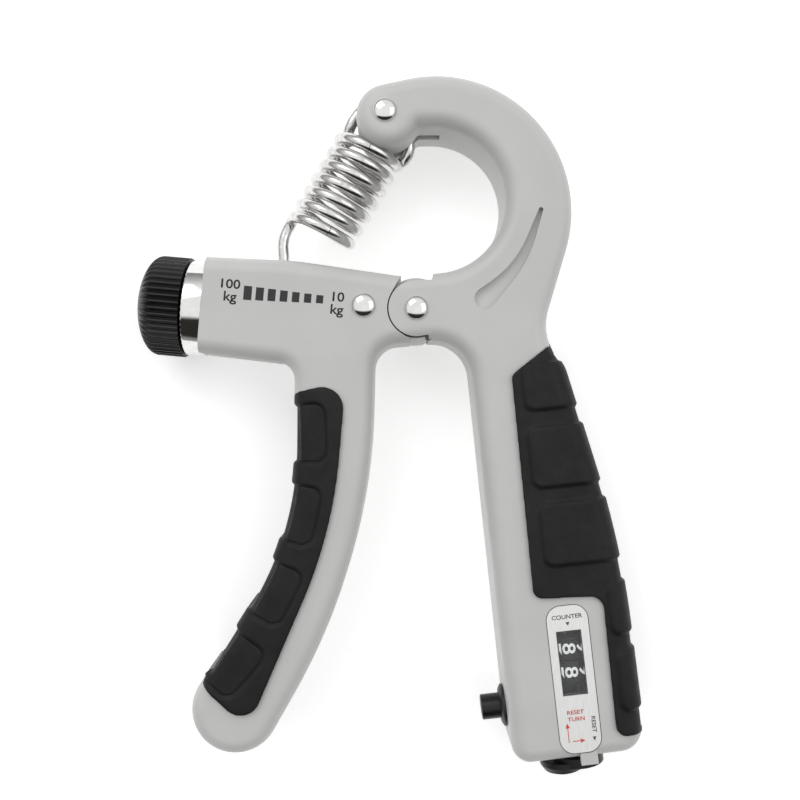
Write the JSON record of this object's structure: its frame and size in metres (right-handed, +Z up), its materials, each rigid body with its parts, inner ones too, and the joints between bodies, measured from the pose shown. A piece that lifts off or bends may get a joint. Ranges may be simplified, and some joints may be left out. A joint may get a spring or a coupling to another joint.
{
  "type": "hand grip dynamometer",
  "caption": "Spring-loaded hand grip trainer with a hinged curved lever, a tension knob on a barrel, an extension spring on a hooked arch and a repetition counter in the straight handle.",
  "frame": {"origin": "on the main pivot's axis, on the flat back face of its rivet, in the plane the object lies on", "axes": "+X from the tension knob towards the counter handle, +Y from the grips towards the spring arch, +Z up out of the front face"},
  "size_m": [0.1144, 0.1578, 0.024],
  "materials": {
    "case_plastic": "satin light grey ABS",
    "grip_rubber": "matt black soft elastomer",
    "chrome_trim": "polished nickel chrome",
    "spring_steel": "bright nickel-plated wire",
    "knob_plastic": "fine satin black",
    "label_metal": "brushed silver plate",
    "smoked_lens": "clear smoked window",
    "drum_plastic": "black counter drums",
    "bearing_brass": "plain turned brass",
    "zinc_steel": "zinc-plated steel"
  },
  "bodies": {
    "counter_handle": {"right_front_shell": "case_plastic", "right_back_shell": "case_plastic", "right_grip": "grip_rubber", "pivot_rivet": "chrome_trim", "anchor_rivet": "chrome_trim", "counter_plate": "label_metal", "counter_lens": "smoked_lens", "counter_frame": "zinc_steel", "pinion_shaft": "zinc_steel", "plunger_bezel": "drum_plastic", "plunger_spring": "zinc_steel", "case_screws": "zinc_steel"},
    "lever": {"left_front_shell": "case_plastic", "left_back_shell": "case_plastic", "left_grip": "grip_rubber", "lever_rivet": "chrome_trim", "pivot_bush": "bearing_brass", "collar_ring": "chrome_trim", "screw_bearing": "bearing_brass"},
    "knob_and_screw": {"tension_knob": "knob_plastic", "lead_screw": "zinc_steel", "thrust_washer": "zinc_steel"},
    "nut_carriage": {"tension_nut": "bearing_brass", "hook_pin": "zinc_steel"},
    "spring_anchor": {"anchor_sleeve": "bearing_brass"},
    "spring_top": {"spring_upper_loop": "spring_steel"},
    "spring_middle": {"spring_coil_upper": "spring_steel"},
    "spring_low": {"spring_coil_lower": "spring_steel"},
    "spring_hook": {"spring_lower_hook": "spring_steel"},
    "units_counter": {"units_drum": "drum_plastic", "ratchet_wheel": "drum_plastic", "units_hub": "drum_plastic"},
    "tens_counter": {"tens_drum": "drum_plastic"},
    "transfer": {"transfer_pinion": "drum_plastic"},
    "plunger": {"count_plunger": "knob_plastic", "ratchet_pawl": "zinc_steel"},
    "key_and_shaft": {"reset_key": "knob_plastic", "drum_shaft": "zinc_steel"}
  },
  "joints": [
    {"name": "grip_squeeze", "type": "hinge", "parent": "counter_handle", "child": "lever", "pos_m": [0, 0, 0.012], "axis": [0, 0, 1], "range_deg": [0, 26], "stiffness_Nm_per_rad": 6, "springref_deg": -20.05},
    {"name": "tension_turn", "type": "hinge", "parent": "lever", "child": "knob_and_screw", "pos_m": [0, -0.0036, 0.012], "axis": [-0.9962, 0.0872, 0], "range_deg": [-2042, 1562]},
    {"name": "nut_travel", "type": "slide", "parent": "lever", "child": "nut_carriage", "axis": [-0.9962, 0.0872, 0], "range_m": [-0.0065, 0.0085]},
    {"name": "spring_swing", "type": "hinge", "parent": "counter_handle", "child": "spring_anchor", "pos_m": [-0.007, 0.0439, 0.012], "axis": [0, 0, 1], "range_deg": [-0.05, 7.51]},
    {"name": "spring_lean", "type": "hinge", "parent": "spring_anchor", "child": "spring_top", "pos_m": [-0.007, 0.0439, 0.012], "axis": [0, 0, 1], "range_deg": [-9.82, 7.5]},
    {"name": "spring_stretch_upper", "type": "slide", "parent": "spring_top", "child": "spring_middle", "axis": [-0.5119, -0.8591, 0], "range_m": [-0.00002, 0.00603], "deforming": ["spring_coil_upper"]},
    {"name": "spring_stretch_lower", "type": "slide", "parent": "spring_middle", "child": "spring_low", "axis": [-0.5119, -0.8591, 0], "range_m": [-0.00002, 0.00603], "deforming": ["spring_coil_lower"]},
    {"name": "spring_hook_shift", "type": "slide", "parent": "spring_low", "child": "spring_hook", "axis": [-0.5119, -0.8591, 0], "range_m": [-0.00294, 0.00384], "deforming": ["spring_lower_hook"]},
    {"name": "plunger_press", "type": "slide", "parent": "counter_handle", "child": "plunger", "axis": [0.9936, 0.1132, 0], "range_m": [0, 0.0026], "stiffness_N_per_m": 300, "springref_m": -0.004, "deforming": ["plunger_spring"]},
    {"name": "units_turn", "type": "hinge", "parent": "counter_handle", "child": "units_counter", "pos_m": [0.03445, -0.0786, 0.0154], "axis": [0.1132, -0.9936, 0], "continuous": true},
    {"name": "tens_turn", "type": "hinge", "parent": "counter_handle", "child": "tens_counter", "pos_m": [0.03445, -0.0786, 0.0154], "axis": [0.1132, -0.9936, 0], "continuous": true},
    {"name": "transfer_turn", "type": "hinge", "parent": "counter_handle", "child": "transfer", "pos_m": [0.03445, -0.0786, 0.0073], "axis": [0.1132, -0.9936, 0], "continuous": true},
    {"name": "reset_turn", "type": "hinge", "parent": "counter_handle", "child": "key_and_shaft", "pos_m": [0.03445, -0.0786, 0.0154], "axis": [0.1132, -0.9936, 0], "continuous": true}
  ],
  "couplings": [
    {"joint": "tension_turn", "follows": "nut_travel", "rad_per_m": -4188.8},
    {"joint": "spring_swing", "follows": "grip_squeeze", "ratio": 0.28601},
    {"joint": "spring_lean", "follows": "nut_travel", "rad_per_m": -19.975},
    {"joint": "spring_stretch_upper", "follows": "grip_squeeze", "m_per_rad": 0.013166},
    {"joint": "spring_stretch_lower", "follows": "grip_squeeze", "m_per_rad": 0.013166},
    {"joint": "spring_hook_shift", "follows": "nut_travel", "ratio": 0.44812},
    {"joint": "tens_turn", "follows": "units_turn", "ratio": 0.1},
    {"joint": "transfer_turn", "follows": "units_turn", "ratio": -0.25}
  ]
}
